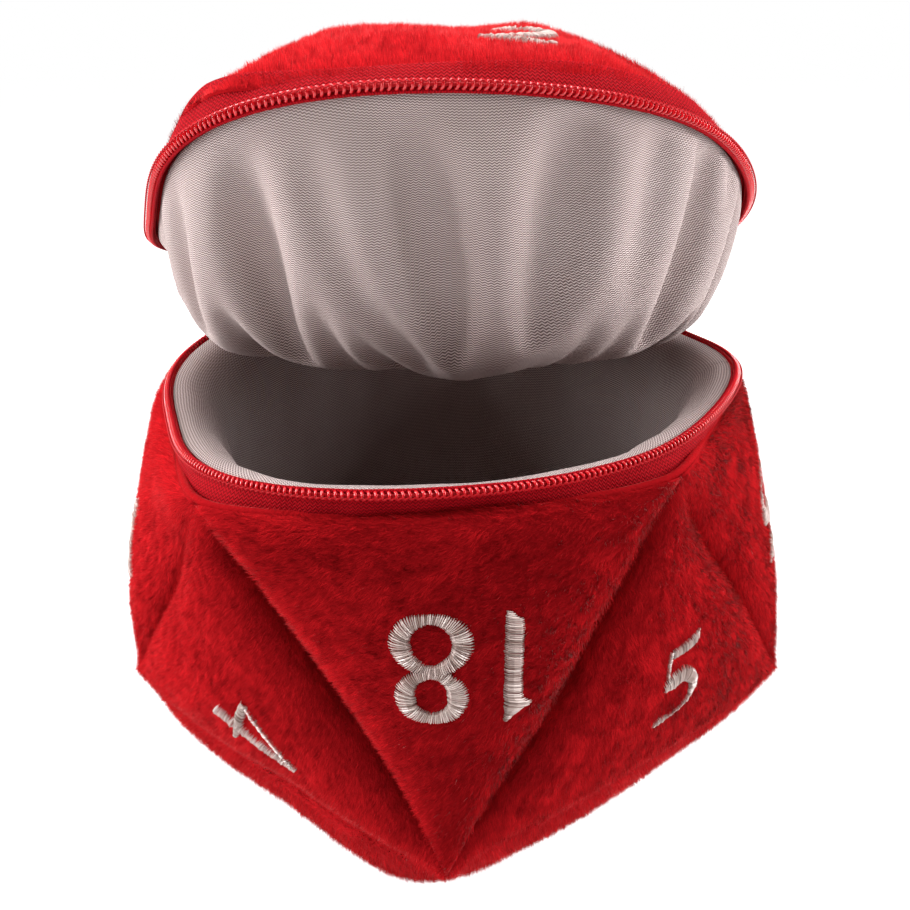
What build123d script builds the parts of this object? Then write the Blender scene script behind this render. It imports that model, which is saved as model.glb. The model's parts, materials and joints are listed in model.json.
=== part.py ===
from build123d import *

import math
import os

# Plush dice bag in the shape of a soft twenty-sided die, closed by a coil zipper.
# Millimetres.  +Z is up, -Y is the front, the origin is the centre of the flat base.

# ---- driving dimensions ----
zip_radius = 66.0          # centre line of the zipper coils
zip_height = 96.0          # zipper plane above the table
rim_drop = 6.0             # the plush rims stand this far below and above the zipper plane
rim_middle_radius = 67.5   # rim of the plush in the middle of a panel's edge
corner_radius = 70.0       # rim of the plush at the five upper corners
lower_radius = 82.0        # the five lower corners
lower_height = 24.0
base_profile = [(lower_radius, lower_height), (71.0, 9.0), (45.0, 0.0)]   # under each corner
lid_height = 44.0          # tip of the lid above the zipper plane
upper_fullness = 2.5       # how far the filling swells each panel out
lower_fullness = 6.0
lid_fullness = 4.0
bag_centre_height = 54.0   # the layers of the bag shrink towards this point
divisions = 4              # facets along the edge of a panel

plush_scale = 0.95         # inner faces of the layers, as shares of the outside
padding_scales = (0.948, 0.912)
lining_scales = (0.910, 0.899)
stitch_height = 0.8        # thread above the plush

hinge_y = 71.0             # hinge line of the lid, along X at the back
lid_opening = 25.0         # how far the lid stands open at rest

coil_gap = 0.6             # each coil starts this far from the zipper plane
coil_size = 1.8
tape_thickness = 0.8
chain_end_angle = 30.0     # the zipper stops this far either side of the back
stop_angle = 1.6
gusset_radius = 66.6
gusset_thickness = 0.8
gusset_half_angle = 28.5
fold_clearance = 0.3

lining_pouch_radius = 62.2
lining_pouch_drop = 36.0
lining_thickness = 0.8

slider_park_angle = 36.0   # from the back, towards +X
slider_half_angle = 5.6
slider_outer = (67.25, 68.65)
slider_inner = (63.3, 64.75)
slider_low = -4.4
slider_high = 2.9
slider_lip = 0.9
slider_post = 0.3
slider_throat = 0.8        # the lips stop this far from the middle of the coil
bridge_half_length = 4.2   # along the zipper
bridge_half_height = 0.8
bridge_half_bar = 0.65
bridge_leg = 1.2
bridge_sink = 0.1          # the bridge's feet reach this far into the outer plate
bridge_slope = 1.0         # its ends lean in by this much
window_slope = 0.5
pull_axis_radius = 71.8
pull_lean = 35.0           # the pull rests on the plush, this far out from hanging straight
pull_length = 24.0
pull_width = 7.0
pull_thickness = 1.4
eyelet_bore = 1.4
eyelet_wall = 1.1
eyelet_width = 2.0
neck_length = 4.4
tab_gap = 5.5              # from the eyelet's axis to the tab
tab_hole = (3.6, 2.4)
tab_hole_inset = 5.0

number_height = 20.6
number_aspect = 0.68       # width of a digit over its height
narrow_aspect = 0.24       # the same for a one
stroke_width = 2.8
digit_gap = 5.0

# ---- numbers on the panels, clockwise seen from above, starting at the front or front left ----
upper_numbers = [18, 14, 16, 17, 15]
lower_numbers = [4, 6, 3, 7, 5]
base_numbers = [11, 9, 19, 1, 13]
lid_numbers = [2, 20, 8, 10, 12]
turned_numbers = [4]         # their tops point to the panel's right corner, not its tip
turned_share = 0.44

# Strokes of each digit, in shares of its width and height: open lines, three-point arcs and rings.
digit_strokes = {
    "0": [("ring", (0.5, 0.5), 0.40, 0.44)],
    "1": [("line", (0.5, 0.0), (0.5, 1.0)), ("line", (0.5, 0.92), (0.0, 0.84))],
    "2": [("arc", (0.10, 0.74), (0.50, 0.94), (0.88, 0.70)), ("line", (0.88, 0.70), (0.10, 0.06)),
          ("line", (0.10, 0.06), (0.92, 0.06))],
    "3": [("arc", (0.12, 0.82), (0.86, 0.74), (0.42, 0.53)),
          ("arc", (0.42, 0.53), (0.92, 0.28), (0.08, 0.14))],
    "4": [("line", (0.68, 0.06), (0.68, 0.94)), ("line", (0.68, 0.94), (0.08, 0.30)),
          ("line", (0.08, 0.30), (0.94, 0.30))],
    "5": [("line", (0.86, 0.93), (0.22, 0.93)), ("line", (0.22, 0.93), (0.18, 0.56)),
          ("arc", (0.18, 0.56), (0.92, 0.33), (0.10, 0.10))],
    "6": [("arc", (0.82, 0.92), (0.22, 0.62), (0.12, 0.28)), ("ring", (0.5, 0.28), 0.38, 0.22)],
    "7": [("line", (0.10, 0.93), (0.90, 0.93)), ("line", (0.90, 0.93), (0.36, 0.06))],
    "8": [("ring", (0.5, 0.73), 0.34, 0.20), ("ring", (0.5, 0.28), 0.40, 0.22)],
    "9": [("ring", (0.5, 0.72), 0.38, 0.22), ("arc", (0.88, 0.72), (0.78, 0.38), (0.18, 0.08))],
}


def on_circle(radius, degrees, height):
    angle = math.radians(degrees)
    return Vector(radius * math.cos(angle), radius * math.sin(angle), height)


def mix(start, end, share):
    return start + (end - start) * share


# ---- the surface of the bag and lid, as rows of points from a panel's edge to its tip ----
def triangle_rows(left, right, tip, bow, swell):
    """Rows from the edge left-right to the tip; the edge bows outwards and the middle swells."""
    rows = []
    outward = Vector(left.X + right.X, left.Y + right.Y, 0).normalized()
    normal = (right - left).cross(tip - left).normalized()
    if normal.dot(outward) < 0:
        normal = normal * -1
    for step in range(divisions + 1):
        rise = step / divisions
        start = mix(left, tip, rise)
        end = mix(right, tip, rise)
        count = divisions - step
        row = []
        for place in range(count + 1):
            along = place / count if count else 0.0
            crown = 4 * along * (1 - along)
            point = mix(start, end, along)
            point += outward * (bow * crown * (1 - rise) ** 1.5)
            point += normal * (swell * crown * 4 * rise * (1 - rise))
            row.append(point)
        rows.append(row)
    return rows


def base_rows(left_angle, right_angle):
    """Rows from an edge of the lower pentagon down the rounded foot to the flat, then to the middle."""
    rows = []
    for radius, height in base_profile:
        left = on_circle(radius, left_angle, height)
        right = on_circle(radius, right_angle, height)
        rows.append([mix(left, right, place / divisions) for place in range(divisions + 1)])
    rows.append([Vector(0, 0, 0)])
    return rows


def strip(near, far):
    """Triangles between two neighbouring rows."""
    if len(far) == 1:
        return [(near[i], near[i + 1], far[0]) for i in range(len(near) - 1)]
    triangles = []
    for i in range(len(near) - 1):
        triangles.append((near[i], near[i + 1], far[i]))
        if i + 1 < len(far):
            triangles.append((near[i + 1], far[i + 1], far[i]))
    return triangles


def triangulate(rows):
    return [triangle for i in range(len(rows) - 1) for triangle in strip(rows[i], rows[i + 1])]


upper_angles = [-126 - 72 * i for i in range(5)]
corner_bow = rim_middle_radius - corner_radius * math.cos(math.radians(36))


def upper_panel(index):
    """Down-pointing panel under the zipper."""
    rim = zip_height - rim_drop
    left = on_circle(corner_radius, upper_angles[index], rim)
    right = on_circle(corner_radius, upper_angles[index] + 72, rim)
    tip = on_circle(lower_radius, upper_angles[index] + 36, lower_height)
    return triangle_rows(left, right, tip, corner_bow, upper_fullness)


def lower_panel(index):
    """Up-pointing panel between two down-pointing ones."""
    left = on_circle(lower_radius, upper_angles[index] - 36, lower_height)
    right = on_circle(lower_radius, upper_angles[index] + 36, lower_height)
    tip = on_circle(corner_radius, upper_angles[index], zip_height - rim_drop)
    return triangle_rows(left, right, tip, 0.0, lower_fullness)


def base_panel(index):
    return base_rows(upper_angles[index] - 36, upper_angles[index] + 36)


def lid_panel(index):
    """Panel of the closed lid, from the zipper up to the tip."""
    rim = zip_height + rim_drop
    left = on_circle(corner_radius, upper_angles[index], rim)
    right = on_circle(corner_radius, upper_angles[index] + 72, rim)
    tip = Vector(0, 0, zip_height + lid_height)
    return triangle_rows(left, right, tip, corner_bow, lid_fullness)


# ---- solids from the surface ----
def shrink(point, scale, centre_height):
    """Moves a point towards the centre; the points of the open rim keep their height."""
    centre = Vector(0, 0, centre_height)
    moved = centre + (point - centre) * scale
    if abs(abs(point.Z - zip_height) - rim_drop) < 0.001:
        return Vector(moved.X, moved.Y, point.Z)
    return moved


def triangle_face(a, b, c):
    return Face(Wire.make_polygon([a, b, c], close=True))


def key(point):
    return (round(point.X, 4), round(point.Y, 4), round(point.Z, 4))


def layer(triangles, outer_scale, inner_scale, centre_height):
    """Closed solid between two scaled copies of a surface."""
    faces = []
    uses = {}
    for corners in triangles:
        faces.append(triangle_face(*[shrink(p, outer_scale, centre_height) for p in corners]))
        faces.append(triangle_face(*[shrink(p, inner_scale, centre_height) for p in corners]))
        for i in range(3):
            pair = (corners[i], corners[(i + 1) % 3])
            uses.setdefault(frozenset((key(pair[0]), key(pair[1]))), []).append(pair)
    for pairs in uses.values():
        if len(pairs) == 1:
            start, end = pairs[0]
            outer_start = shrink(start, outer_scale, centre_height)
            outer_end = shrink(end, outer_scale, centre_height)
            inner_start = shrink(start, inner_scale, centre_height)
            inner_end = shrink(end, inner_scale, centre_height)
            faces.append(triangle_face(outer_start, outer_end, inner_end))
            faces.append(triangle_face(outer_start, inner_end, inner_start))
    return Solid(Shell(faces))


def ring_sector(inner, outer, low, high, start, end):
    """Part of a flat ring about the zipper's axis; heights are from the zipper plane."""
    profile = Polyline((inner, 0, low), (outer, 0, low), (outer, 0, high), (inner, 0, high), close=True)
    turned = revolve(make_face(profile), Axis.Z, revolution_arc=end - start)
    return Pos(0, 0, zip_height) * Rot(0, 0, start) * turned


def open_lid(shape):
    """Turns a piece of the closed lid to where the lid stands at rest."""
    to_hinge = Pos(0, hinge_y, zip_height)
    return to_hinge * Rot(-lid_opening, 0, 0) * to_hinge.inverse() * shape


# ---- embroidered numbers ----
def digit_width(digit):
    return number_height * (narrow_aspect if digit == "1" else number_aspect)


def digit_face(digit):
    """One digit, centred on the origin."""
    width = digit_width(digit)
    face = None
    for kind, *values in digit_strokes[digit]:
        if kind == "ring":
            centre, across, up = values
            outer = Ellipse(across * width + stroke_width / 2, up * number_height + stroke_width / 2)
            inner = Ellipse(across * width - stroke_width / 2, up * number_height - stroke_width / 2)
            stroke = Pos(centre[0] * width, centre[1] * number_height) * (outer - inner)
        else:
            places = [(x * width, y * number_height) for x, y in values]
            path = ThreePointArc(*places) if kind == "arc" else Line(*places)
            stroke = trace(path, line_width=stroke_width)
        face = stroke if face is None else face + stroke
    return Pos(-width / 2, -number_height / 2) * face


def number_prism(number, rows, tip_share):
    """The digits as a deep prism across the panel, their tops towards one of its corners."""
    left, right, tip = rows[0][0], rows[0][-1], rows[-1][0]
    if number in turned_numbers:
        left, right, tip = tip, left, right
        tip_share = turned_share
    middle = (left + right) * 0.5
    up = (tip - middle).normalized()
    normal = (right - left).cross(tip - left).normalized()
    place = mix(middle, tip, tip_share)
    if normal.dot(place - Vector(0, 0, bag_centre_height)) < 0:
        normal = normal * -1
    plane = Plane(origin=place, x_dir=up.cross(normal), z_dir=normal)
    digits = str(number)
    start = -(sum(digit_width(digit) for digit in digits) + digit_gap * (len(digits) - 1)) / 2
    prism = None
    for digit in digits:
        centre = start + digit_width(digit) / 2
        piece = plane * Pos(centre, 0, 0) * extrude(digit_face(digit), amount=2 * number_height, both=True)
        prism = piece if prism is None else prism + piece
        start += digit_width(digit) + digit_gap
    return prism


def embroidery(number, rows, tip_share, centre_height):
    """Raised thread that follows the outside of the panel."""
    thread_scale = 1 + stitch_height / lower_radius
    skin = layer(triangulate(rows), thread_scale, 1.0, centre_height)
    return skin & number_prism(number, rows, tip_share)


# ---- parts ----
os.makedirs("parts", exist_ok=True)


def save(shape, name):
    export_step(Compound(children=list(shape.solids())), f"parts/{name}.step")


band_share = 0.40
foot_share = 0.30
bag_triangles = []
for numbers, panel, share in ((upper_numbers, upper_panel, band_share),
                              (lower_numbers, lower_panel, band_share),
                              (base_numbers, base_panel, foot_share)):
    for index, number in enumerate(numbers):
        rows = panel(index)
        triangles = triangulate(rows)
        bag_triangles += triangles
        save(layer(triangles, 1.0, plush_scale, bag_centre_height), f"panel_{number}")
        save(embroidery(number, rows, share, bag_centre_height), f"number_{number}")

lid_triangles = []
for index, number in enumerate(lid_numbers):
    rows = lid_panel(index)
    triangles = triangulate(rows)
    lid_triangles += triangles
    save(open_lid(layer(triangles, 1.0, plush_scale, zip_height)), f"panel_{number}")
    save(open_lid(embroidery(number, rows, band_share, zip_height)), f"number_{number}")

save(layer(bag_triangles, *padding_scales, bag_centre_height), "bag_padding")
save(layer(bag_triangles, *lining_scales, bag_centre_height), "bag_lining")
save(open_lid(layer(lid_triangles, *padding_scales, zip_height)), "lid_padding")

# The lid's lining hangs as a loose bowl below the zipper.
bowl_top = rim_drop - 1.0
bowl_steps = 10


def bowl(radius, drop):
    """Solid bowl that hangs from the lid's rim, with an outline of short straight steps."""
    turns = [math.radians(90 * i / bowl_steps) for i in range(bowl_steps + 1)]
    outline = [(radius * math.cos(turn), 0, -drop * math.sin(turn)) for turn in turns]
    outline[-1] = (0, 0, -drop)
    section = make_face(Polyline(*outline, (0, 0, 0), close=True))
    return Pos(0, 0, zip_height + bowl_top) * revolve(section, Axis.Z)


pouch = bowl(lining_pouch_radius, lining_pouch_drop)
hollow = bowl(lining_pouch_radius - lining_thickness, lining_pouch_drop - lining_thickness)
save(open_lid(pouch - hollow), "lid_lining")

# Zipper: tape and coil run round the ring from one side of the back to the other.
tape_radii = (zip_radius - tape_thickness / 2, zip_radius + tape_thickness / 2)
coil_radii = (zip_radius - coil_size / 2, zip_radius + coil_size / 2)
stop_radii = (coil_radii[0] - 0.1, coil_radii[1] + 0.1)
gusset_radii = (gusset_radius, gusset_radius + gusset_thickness)
coil_end = coil_gap + coil_size
chain_start = 90 + chain_end_angle
chain_end = 450 - chain_end_angle
coil_start = chain_start + stop_angle
coil_finish = chain_end - stop_angle
gusset_start = 90 - gusset_half_angle
gusset_finish = 90 + gusset_half_angle

save(ring_sector(*tape_radii, -rim_drop, -coil_end, chain_start, chain_end), "bag_zip_tape")
save(ring_sector(*coil_radii, -coil_end, -coil_gap, coil_start, coil_finish), "bag_zip_coil")
save(open_lid(ring_sector(*tape_radii, coil_end, rim_drop, chain_start, chain_end)), "lid_zip_tape")
save(open_lid(ring_sector(*coil_radii, coil_gap, coil_end, coil_start, coil_finish)), "lid_zip_coil")


def stops(low, high):
    """A crimped stop at each end of a coil."""
    first = ring_sector(*stop_radii, low, high, chain_start, coil_start)
    second = ring_sector(*stop_radii, low, high, coil_finish, chain_end)
    return Compound(children=[first.solid(), second.solid()])


save(stops(-coil_end, -coil_gap), "bag_zip_stops")
save(open_lid(stops(coil_gap, coil_end)), "lid_zip_stops")

# Fabric hinge: one strip that folds on the hinge line, made as its two halves.
save(ring_sector(*gusset_radii, -rim_drop, -fold_clearance, gusset_start, gusset_finish), "bag_gusset")
lid_half = ring_sector(*gusset_radii, fold_clearance, rim_drop, gusset_start, gusset_finish)
save(open_lid(lid_half), "lid_gusset")


# ---- slider and pull, made at angle 0 and turned to where the slider is parked ----
def slider():
    half = slider_half_angle
    outer_plate = ring_sector(*slider_outer, slider_low, slider_high, -half, half)
    inner_plate = ring_sector(*slider_inner, slider_low, slider_high, -half, half)
    lip_top = slider_low + slider_lip
    outer_lip = ring_sector(zip_radius + slider_throat, slider_outer[0], slider_low, lip_top, -half, half)
    inner_lip = ring_sector(slider_inner[1], zip_radius - slider_throat, slider_low, lip_top, -half, half)
    post = ring_sector(slider_inner[1], slider_outer[0], -slider_post, slider_post, half / 2, half)
    return outer_plate + inner_plate + outer_lip + inner_lip + post


def bridge():
    """Loop on the outer plate that holds the pull; it runs along the zipper."""
    foot = slider_outer[1] - bridge_sink
    inner = pull_axis_radius - bridge_half_bar
    outer = pull_axis_radius + bridge_half_bar
    ends = bridge_half_length - bridge_slope
    window_foot = bridge_half_length - bridge_leg
    window_ends = window_foot - window_slope
    outline = Polyline((foot, -bridge_half_length), (outer, -ends), (outer, ends),
                       (foot, bridge_half_length), close=True)
    window = Polyline((foot, -window_foot), (inner, -window_ends), (inner, window_ends),
                      (foot, window_foot), close=True)
    profile = make_face(outline) - make_face(window)
    return Pos(0, 0, zip_height) * extrude(profile, amount=bridge_half_height, both=True)


def pull():
    """Eyelet round the bridge's bar, with a tab: made along -Y, then stood up and leaned out."""
    eyelet = Cylinder(eyelet_bore + eyelet_wall, eyelet_width)
    neck = Pos(0, -(eyelet_bore + neck_length / 2), 0) * Box(pull_thickness, neck_length, eyelet_width)
    tab_face = RectangleRounded(pull_width, pull_length, pull_width * 0.42)
    hole = Pos(0, tab_hole_inset - pull_length / 2) * SlotOverall(*tab_hole, rotation=90)
    tab = Rot(0, 90, 0) * extrude(tab_face - hole, amount=pull_thickness / 2, both=True)
    body = eyelet + neck + Pos(0, -(tab_gap + pull_length / 2), 0) * tab
    body -= Cylinder(eyelet_bore, eyelet_width + 1)
    leaning = Rot(0, -pull_lean, 0) * Rot(90, 0, 0) * body
    return Pos(pull_axis_radius, 0, zip_height) * leaning


parking = Rot(0, 0, 90 - slider_park_angle)
save(parking * (slider() + bridge()), "zip_slider")
save(parking * pull(), "pull_tab")
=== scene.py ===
import json
import math

import bpy
import numpy as np
from mathutils import Matrix, Vector, noise
from mathutils.bvhtree import BVHTree


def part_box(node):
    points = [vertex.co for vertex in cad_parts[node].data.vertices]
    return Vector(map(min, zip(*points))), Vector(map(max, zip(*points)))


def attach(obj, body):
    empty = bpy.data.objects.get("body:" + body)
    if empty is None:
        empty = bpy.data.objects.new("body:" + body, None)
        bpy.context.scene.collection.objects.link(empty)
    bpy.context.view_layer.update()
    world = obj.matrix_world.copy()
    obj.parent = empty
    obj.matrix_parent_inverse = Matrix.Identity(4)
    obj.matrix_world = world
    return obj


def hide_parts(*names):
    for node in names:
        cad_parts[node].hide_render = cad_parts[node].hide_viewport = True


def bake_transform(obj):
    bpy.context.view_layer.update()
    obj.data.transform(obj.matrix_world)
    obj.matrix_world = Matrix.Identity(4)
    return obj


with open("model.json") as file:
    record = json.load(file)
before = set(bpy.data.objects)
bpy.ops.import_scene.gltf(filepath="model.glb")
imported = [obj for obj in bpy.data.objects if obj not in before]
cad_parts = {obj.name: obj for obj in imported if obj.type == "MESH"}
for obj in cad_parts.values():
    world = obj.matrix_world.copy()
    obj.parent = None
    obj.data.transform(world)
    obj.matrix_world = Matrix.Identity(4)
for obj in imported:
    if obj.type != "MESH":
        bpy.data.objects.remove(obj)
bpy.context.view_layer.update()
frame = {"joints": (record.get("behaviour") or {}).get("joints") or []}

# A plush dice bag shaped like a soft twenty-sided die.  Metres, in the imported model's frame.
MM = 0.001
RANDOM = np.random.default_rng(20)

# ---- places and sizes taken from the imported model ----
joints = {joint["name"]: joint for joint in frame["joints"]}
HINGE = np.array(joints["lid_hinge"]["pos_m"])
LID_ANGLE = -math.radians(joints["lid_hinge"]["range_deg"][0])
ZIP_HEIGHT = HINGE[2]
coil_low, coil_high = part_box("bag_zip_coil")
COIL_SIZE = coil_high.z - coil_low.z
ZIP_RADIUS = coil_high.x - COIL_SIZE / 2
COIL_GAP = ZIP_HEIGHT - coil_high.z
front_low, front_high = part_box("panel_18")
RIM_DROP = ZIP_HEIGHT - front_high.z
CORNER_RADIUS = front_high.x / math.sin(math.radians(36))
LOWER_RADIUS = -front_low.y
LOWER_HEIGHT = front_low.z
_, gusset_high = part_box("bag_gusset")

# ---- sizes of the soft goods ----
RIM_MIDDLE_RADIUS = 67.5 * MM
LID_HEIGHT = 37.0 * MM
LID_ARCH = 6.0 * MM
LID_SEAM_ARCH = 5.0 * MM
LOWER_BOW = 2.0 * MM
LID_RIM_DROP = 3.2 * MM
RIM_CORNER_RISE = 2.0 * MM
RIM_CORNER_REACH = 2.0 * MM
LID_CORNER_RADIUS = 65.8 * MM
LID_MIDDLE_RADIUS = 66.4 * MM
# degrees round the ring, width in degrees, rise
LID_RIM_WAVES = [(232.0, 15.0, 3.2 * MM), (292.0, 10.0, 1.8 * MM)]
BASE_PROFILE = [(74.0 * MM, 9.5 * MM), (47 * MM, 0.6 * MM)]
CORE_HEIGHT = 54 * MM
GRID = 44
SEAM_DEPTH = 3.1 * MM
SHOULDER = 8.5 * MM
RIM_SHOULDER = 4.5 * MM
SWELL = {"upper": 4.0 * MM, "lower": 6.0 * MM, "base": 3.5 * MM, "lid": 0.8 * MM}
FULLER_PANELS = {15: 0.5, 5: 0.9, 13: 0.4}
# each sag: its place, its width and how far it shifts the cloth sideways
SAGS = [((66 * MM, -20 * MM, 40 * MM), 26 * MM, 3.0 * MM),
        ((0, -68 * MM, 8 * MM), 26 * MM, -2.2 * MM)]
VERTEX_REACH = 10 * MM
VERTEX_LIFT = 0.8
RIM_LIFT = 0.55
LUMP = 0.9 * MM
PILE_LENGTH = 1.45 * MM
PILE_WIDTH = 0.13 * MM
PILE_PER_MM2 = 17.0
PILE_PER_MM2_BEHIND = 10.0
PILE_TUCK = 0.15 * MM
NAP_STRETCH = 0.6
RIPPLE, TUFT, PATCH, SWIRL = 0.75 * MM, 1.3 * MM, 4.5 * MM, 13 * MM
FIBRE_RED = (0.42, 0.0080, 0.0110)
# brightness steps of the fibre red: their spread is painted light and shade of the fibre clumps
FIBRE_LEVELS = (0.50, 0.80, 1.1, 1.45)
NUMBER_HEIGHT = 20.6 * MM
DIGIT_GAP = 5.0 * MM
THREAD_PITCH = 0.34 * MM
STITCH_RISE = 0.8 * MM
STITCH_SLANT = 0.16
STITCH_CLEARANCE = 0.12 * MM
STROKE_MARGIN = 3 * MM
RAY_REACH = 25 * MM
BAND_SHARE = 0.40
FOOT_SHARE = 0.30
COIL_PITCH = 1.08 * MM
WIRE_RADIUS = 0.27 * MM
TAPE_THICKNESS = 0.55 * MM
TAPE_START = 0.55 * MM
TAPE_TUCK = 3.2 * MM
RIM_WINDOW = 7
RIM_FOLD_RADIUS = 0.9 * MM
CHAIN_START = 120.0
CHAIN_END = 420.0
COIL_START = 121.6
COIL_FINISH = 418.4
FLAT_HEIGHT = 0.5 * MM
SKIN_SHARE = 0.974
WADDING_SHARES = (0.968, 0.925)
GUSSET_RADIUS = gusset_high.y - 0.6 * MM
GUSSET_OVERLAP = 3 * MM
GUSSET_LAP_DEGREES = 2
FOLD_REACH = 5 * MM
# waves of the mouth: waves round the ring, cosine part and sine part in millimetres
MOUTH_SWING = [(2, -0.1, 2.8), (3, -1.6, 1.4), (4, 0.6, -2.2), (5, 0.7, 1.5)]
MOUTH_TILT = [(1, 1.5, 0.0), (2, -2.7, -2.5), (3, 1.6, -0.7)]
STILL_ANGLE = 40.0
FREE_ANGLE = 72.0
LINING_THICKNESS = 0.5 * MM
# radius and height in millimetres, from the zipper to the middle of the floor
LINING_PROFILE = [(64.6, 94.6), (61.5, 94.2), (57.5, 91.5), (54.5, 86), (53.5, 78), (55, 68), (58.5, 56),
                  (61, 44), (60.5, 32), (56, 22), (47, 14.5), (34, 10), (18, 8), (0.4, 7.5)]
# radius and depth in millimetres, from the zipper to the middle
POUCH_PROFILE = [(64.2, 0), (64, 7), (63, 14), (60, 21), (54, 27), (45, 31), (33, 33.5), (18, 35),
                 (0.1, 35.5)]
POUCH_CUT = 166 * MM
POUCH_RINGS = 45
POUCH_BEND = 0.35
POUCH_SHEAR = 0.35
POUCH_GRAVITY = 0.012 * MM
POUCH_DAMPING = 0.95
POUCH_RELAXATIONS = 6
POUCH_FLOOR = 95.5 * MM
POUCH_BACK_DROP = 6 * MM
POLE_RINGS = 10
POUCH_ROOM = 66 * MM
POUCH_NARROWING = 11 * MM
POUCH_TAPER = 16 * MM
POUCH_STEPS = 220

# ---- light and camera ----
# each lamp: name, place, aim, size and power
LIGHTS = [("overhead", (-0.05, 0.20, 0.75), (0, 0, 0.1), 0.55, 7.6),
          ("left", (-0.70, -0.05, 0.32), (0, 0, 0.06), 0.45, 8.4),
          ("front", (0.0, -0.16, 0.55), (0, -0.02, 0.09), 0.30, 0.9),
          ("right", (0.70, 0.0, 0.30), (0, 0, 0.06), 0.45, 7.4)]
FLOOR_GLOW = 1.0
CAMERA_TARGET = Vector((0.6, 0, 70.3)) * MM
CAMERA_DISTANCE = 212 * MM
CAMERA_ELEVATION = math.radians(26.5)
CAMERA_LENS = 34.0

UPPER_NUMBERS = [18, 14, 16, 17, 15]
LOWER_NUMBERS = [4, 6, 3, 7, 5]
BASE_NUMBERS = [11, 9, 19, 1, 13]
LID_NUMBERS = [2, 20, 8, 10, 12]
NUMBER_SHIFT = {18: (-1.7 * MM, 1.0 * MM), 2: (12 * MM, -8 * MM), 14: (6 * MM, 2.5 * MM),
                15: (-6.5 * MM, 1.0 * MM)}
NUMBER_TURN = {2: -11.0}
NUMBER_SIZE = {5: 0.88}
TURNED_NUMBERS = {4: 0.44}
IN_VIEW = (18, 4, 5, 14, 15, 2, 20, 12)
UPPER_ANGLES = [-126 - 72 * i for i in range(5)]


# ---- small helpers ----
def on_circle(radius, degrees, height):
    angle = math.radians(degrees)
    return np.array([radius * math.cos(angle), radius * math.sin(angle), height])


def unit(vectors):
    length = np.linalg.norm(vectors, axis=-1, keepdims=True)
    return vectors / np.maximum(length, 1e-12)


def smooth(share):
    share = np.clip(share, 0, 1)
    return share * share * (3 - 2 * share)


def waves(angle, terms):
    return sum(c * np.cos(k * angle) + s * np.sin(k * angle) for k, c, s in terms) * MM


def slouch(points):
    """The soft mouth isn't quite round or level: bag and lid share its waves, which fade at the hinge."""
    points = np.array(points, float)
    angle = np.arctan2(points[..., 1], points[..., 0])
    beside = np.abs((np.degrees(angle) - 90 + 180) % 360 - 180)
    still = smooth((beside - STILL_ANGLE) / (FREE_ANGLE - STILL_ANGLE))
    above = points[..., 2] - ZIP_HEIGHT
    near = 1 - smooth(np.where(above > 0, above / LID_HEIGHT, -above / (ZIP_HEIGHT - LOWER_HEIGHT)))
    swing, tilt = waves(angle, MOUTH_SWING), waves(angle, MOUTH_TILT)
    reach = np.hypot(points[..., 0], points[..., 1]) / ZIP_RADIUS
    share = still * near * np.clip(reach, 0, 1)
    points[..., 0] += swing * share * np.cos(angle)
    points[..., 1] += swing * share * np.sin(angle)
    points[..., 2] += tilt * share
    for place, width, aside in SAGS:
        apart = np.linalg.norm(points - np.array(place), axis=-1)
        points[..., 0] += aside * np.exp(-(apart / width) ** 2)
    return points


def swing_open(points):
    """Turns points of the closed lid to where the lid stands at rest."""
    points = np.asarray(points, float) - HINGE
    cos, sin = math.cos(LID_ANGLE), math.sin(LID_ANGLE)
    y = points[..., 1] * cos + points[..., 2] * sin
    z = points[..., 2] * cos - points[..., 1] * sin
    return np.stack([points[..., 0], y, z], axis=-1) + HINGE


def open_lid(points):
    return swing_open(slouch(points))


def soften(values, window):
    """Values averaged along their line by the window; past each end the line goes on as its mirror."""
    half = len(window) // 2
    before = 2 * values[0] - values[half:0:-1]
    after = 2 * values[-1] - values[-2:-2 - half:-1]
    return np.convolve(np.concatenate([before, values, after]), window / window.sum(), "valid")


def along_profile(profile, count):
    """Even steps along pairs of millimetres: both columns, in metres."""
    profile = np.array(profile) * MM
    at = np.linspace(0, len(profile) - 1, count)
    return [np.interp(at, np.arange(len(profile)), profile[:, k]) for k in range(2)]


def curve(a, b, c, d, share):
    """Place on the smooth curve from b to c, with a before them and d after them."""
    return 0.5 * (2 * b + (c - a) * share + (2 * a - 5 * b + 4 * c - d) * share ** 2
                  + (3 * b - a - 3 * c + d) * share ** 3)


def lumps(points, size, seed):
    """Smooth noise between -1 and 1 at each point."""
    shift = Vector((seed * 7.3, seed * 3.1, seed * 5.7))
    return np.array([noise.noise(Vector(p) / size + shift) for p in points])


def quick_lumps(points, size, seed):
    """Smooth noise between -1 and 1 from a lattice of mixed-up whole numbers, quick for many points."""
    at = points / size + seed * 17.3
    low = np.floor(at).astype(np.int64)
    share = smooth(at - low)
    total = np.zeros(len(points))
    for corner in range(8):
        step = np.array([corner & 1, (corner >> 1) & 1, corner >> 2])
        cell = low + step
        mixed = (cell[:, 0] * 73856093) ^ (cell[:, 1] * 19349663) ^ (cell[:, 2] * 83492791)
        mixed = (mixed ^ (mixed >> 13)) * 1274126177
        value = ((mixed ^ (mixed >> 16)) & 0xFFFF) / 32767.5 - 1
        total += value * np.prod(np.where(step, share, 1 - share), axis=1)
    return total


def link(name, data):
    """New object in the scene for a mesh, a lamp or a camera."""
    made = bpy.data.objects.new(name, data)
    bpy.context.scene.collection.objects.link(made)
    return made


def make_mesh(name, points, faces, surface):
    mesh = bpy.data.meshes.new(name)
    mesh.from_pydata([tuple(p) for p in points], [], [tuple(f) for f in faces])
    mesh.materials.append(surface)
    mesh.polygons.foreach_set("use_smooth", [True] * len(mesh.polygons))
    mesh.update()
    return link(name, mesh)


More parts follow.
